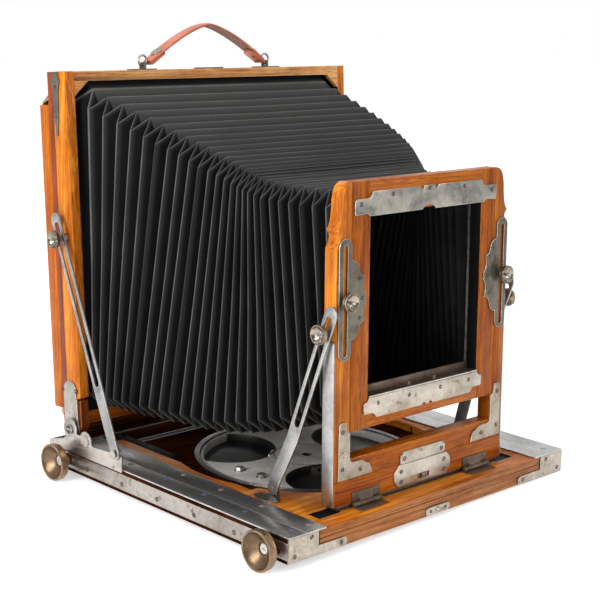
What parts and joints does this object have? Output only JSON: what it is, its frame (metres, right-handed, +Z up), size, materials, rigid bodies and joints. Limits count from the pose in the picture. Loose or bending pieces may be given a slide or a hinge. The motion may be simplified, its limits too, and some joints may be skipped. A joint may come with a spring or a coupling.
{
  "type": "large format field camera",
  "caption": "Wooden folding plate camera with a racking bed, round turntable, tilting rear frame, rising lens panel, pleated bellows and carrying strap.",
  "frame": {"origin": "centre of the turntable's tripod socket, level with the underside of the bed", "axes": "+X to the camera's right seen from the lens side, +Y from the lens towards the back, +Z up"},
  "size_m": [0.4028, 0.362, 0.4313],
  "materials": {
    "mahogany": "varnished",
    "dark_wood": "varnished",
    "deck_steel": "worn blued",
    "nickel": "worn nickel plate",
    "grey_steel": "mottled",
    "hinge_steel": "brown steel",
    "brass": "aged",
    "bronze": "worn bronze",
    "aluminium": "satin",
    "cloth": "bellows cloth",
    "leather": "worn",
    "glass": "ground"
  },
  "bodies": {
    "bed": {"bed_frame": "dark_wood", "bed_board": "dark_wood", "deck_strips": "deck_steel", "side_plates": "nickel", "corner_brackets": "nickel", "turntable_ring": "brass", "turntable_retainer": "brass"},
    "turntable": {"turntable_spider": "deck_steel", "turntable_floor": "deck_steel", "turntable_bolts": "nickel"},
    "extension": {"front_board": "mahogany", "extension_sides": "mahogany", "front_racks": "brass", "butt_hinges": "hinge_steel", "strut_feet": "nickel"},
    "front_drive": {"front_shaft": "brass", "front_knob": "bronze"},
    "carriage": {"carriage_board": "dark_wood", "carriage_brackets": "nickel", "rear_racks": "brass"},
    "rear_drive": {"rear_shaft": "brass", "rear_knob": "bronze"},
    "front_standard": {"standard_block": "mahogany", "standard_sole": "nickel", "lens_frame": "mahogany", "hinge_flaps": "hinge_steel", "corner_plates": "nickel", "lock_plates": "nickel", "side_bars": "aluminium"},
    "lock_slider": {"lock_catch": "grey_steel"},
    "rising_panel": {"lens_panel": "mahogany", "panel_top_plate": "grey_steel", "panel_bottom_plate": "grey_steel", "rise_plates": "grey_steel", "bellows_front_frame": "cloth"},
    "panel_clamp_left": {"panel_knob_left": "brass"},
    "panel_clamp_right": {"panel_knob_right": "brass"},
    "front_strut_l": {"front_strut_left": "nickel"},
    "front_strut_r": {"front_strut_right": "nickel"},
    "front_clamp_l": {"front_clamp_left": "brass"},
    "front_clamp_r": {"front_clamp_right": "brass"},
    "rear_standard": {"rear_frame": "mahogany", "foot_blocks": "mahogany", "bellows_rear_frame": "cloth", "bellows": "cloth", "back_frame": "dark_wood", "side_hinge_plates": "nickel", "top_fittings": "grey_steel", "back_catches": "brass", "screen_hinges": "brass"},
    "focusing_screen": {"focusing_frame": "dark_wood", "ground_glass": "glass", "screen_leaves": "brass"},
    "rear_strut_l": {"rear_strut_left": "nickel"},
    "rear_strut_r": {"rear_strut_right": "nickel"},
    "rear_clamp_l": {"rear_clamp_left": "brass"},
    "rear_clamp_r": {"rear_clamp_right": "brass"},
    "handle": {"handle_strap": "leather", "handle_rings": "nickel"}
  },
  "joints": [
    {"name": "turntable_turn", "type": "hinge", "parent": "bed", "child": "turntable", "pos_m": [0, 0, 0.008], "axis": [0, 0, 1], "continuous": true},
    {"name": "front_rack", "type": "slide", "parent": "bed", "child": "extension", "axis": [0, -1, 0], "range_m": [0, 0.12], "deforming": ["bellows"]},
    {"name": "front_rack_knob", "type": "hinge", "parent": "bed", "child": "front_drive", "pos_m": [0, -0.15, 0.0107], "axis": [1, 0, 0], "range_deg": [0, 1529]},
    {"name": "rear_rack", "type": "slide", "parent": "bed", "child": "carriage", "axis": [0, 1, 0], "range_m": [0, 0.07], "deforming": ["bellows"]},
    {"name": "rear_rack_knob", "type": "hinge", "parent": "bed", "child": "rear_drive", "pos_m": [0, 0.141, 0.0107], "axis": [1, 0, 0], "range_deg": [-892, 0]},
    {"name": "front_tilt", "type": "hinge", "parent": "extension", "child": "front_standard", "pos_m": [0, -0.1516, 0.0242], "axis": [1, 0, 0], "range_deg": [0, 12], "deforming": ["bellows"]},
    {"name": "lock_slide", "type": "slide", "parent": "front_standard", "child": "lock_slider", "axis": [1, 0, 0], "range_m": [-0.004, 0.004]},
    {"name": "front_rise", "type": "slide", "parent": "front_standard", "child": "rising_panel", "axis": [0, 0.0262, 0.9997], "range_m": [-0.022, 0.043], "deforming": ["bellows"]},
    {"name": "panel_clamp_left_turn", "type": "hinge", "parent": "front_standard", "child": "panel_clamp_left", "pos_m": [-0.1035, -0.14611, 0.20439], "axis": [0, 0.9997, -0.0262], "continuous": true},
    {"name": "panel_clamp_right_turn", "type": "hinge", "parent": "front_standard", "child": "panel_clamp_right", "pos_m": [0.1035, -0.14611, 0.20439], "axis": [0, 0.9997, -0.0262], "continuous": true},
    {"name": "front_strut_left_turn", "type": "hinge", "parent": "extension", "child": "front_strut_l", "pos_m": [-0.124, -0.0847, 0.0293], "axis": [1, 0, 0], "range_deg": [-0.1, 10.4]},
    {"name": "front_clamp_left_turn", "type": "hinge", "parent": "front_standard", "child": "front_clamp_l", "pos_m": [-0.123, -0.13771, 0.17766], "axis": [1, 0, 0], "continuous": true},
    {"name": "front_strut_right_turn", "type": "hinge", "parent": "extension", "child": "front_strut_r", "pos_m": [0.124, -0.0847, 0.0293], "axis": [1, 0, 0], "range_deg": [-0.1, 10.4]},
    {"name": "front_clamp_right_turn", "type": "hinge", "parent": "front_standard", "child": "front_clamp_r", "pos_m": [0.123, -0.13771, 0.17766], "axis": [1, 0, 0], "continuous": true},
    {"name": "rear_tilt", "type": "hinge", "parent": "carriage", "child": "rear_standard", "pos_m": [0, 0.133, 0.043], "axis": [1, 0, 0], "range_deg": [-10, 12], "deforming": ["bellows"]},
    {"name": "rear_strut_left_turn", "type": "hinge", "parent": "carriage", "child": "rear_strut_l", "pos_m": [-0.188, 0.0597, 0.037], "axis": [1, 0, 0], "range_deg": [-8.4, 10.1]},
    {"name": "rear_clamp_left_turn", "type": "hinge", "parent": "rear_standard", "child": "rear_clamp_l", "pos_m": [-0.193, 0.14361, 0.22564], "axis": [1, 0, 0], "continuous": true},
    {"name": "rear_strut_right_turn", "type": "hinge", "parent": "carriage", "child": "rear_strut_r", "pos_m": [0.188, 0.0597, 0.037], "axis": [1, 0, 0], "range_deg": [-8.4, 10.1]},
    {"name": "rear_clamp_right_turn", "type": "hinge", "parent": "rear_standard", "child": "rear_clamp_r", "pos_m": [0.193, 0.14361, 0.22564], "axis": [1, 0, 0], "continuous": true},
    {"name": "screen_fold", "type": "hinge", "parent": "rear_standard", "child": "focusing_screen", "pos_m": [0, 0.17133, 0.07153], "axis": [-1, 0, 0], "range_deg": [0, 90]},
    {"name": "handle_swing", "type": "hinge", "parent": "rear_standard", "child": "handle", "pos_m": [0, 0.16035, 0.38255], "axis": [1, 0, 0], "range_deg": [-20, 20]}
  ],
  "couplings": [
    {"joint": "front_rack_knob", "follows": "front_rack", "rad_per_m": 222.22},
    {"joint": "rear_rack_knob", "follows": "rear_rack", "rad_per_m": -222.22},
    {"joint": "front_strut_left_turn", "follows": "front_tilt", "ratio": 0.8644},
    {"joint": "rear_strut_left_turn", "follows": "rear_tilt", "ratio": 0.829},
    {"joint": "front_strut_right_turn", "follows": "front_tilt", "ratio": 0.8644},
    {"joint": "rear_strut_right_turn", "follows": "rear_tilt", "ratio": 0.829}
  ]
}
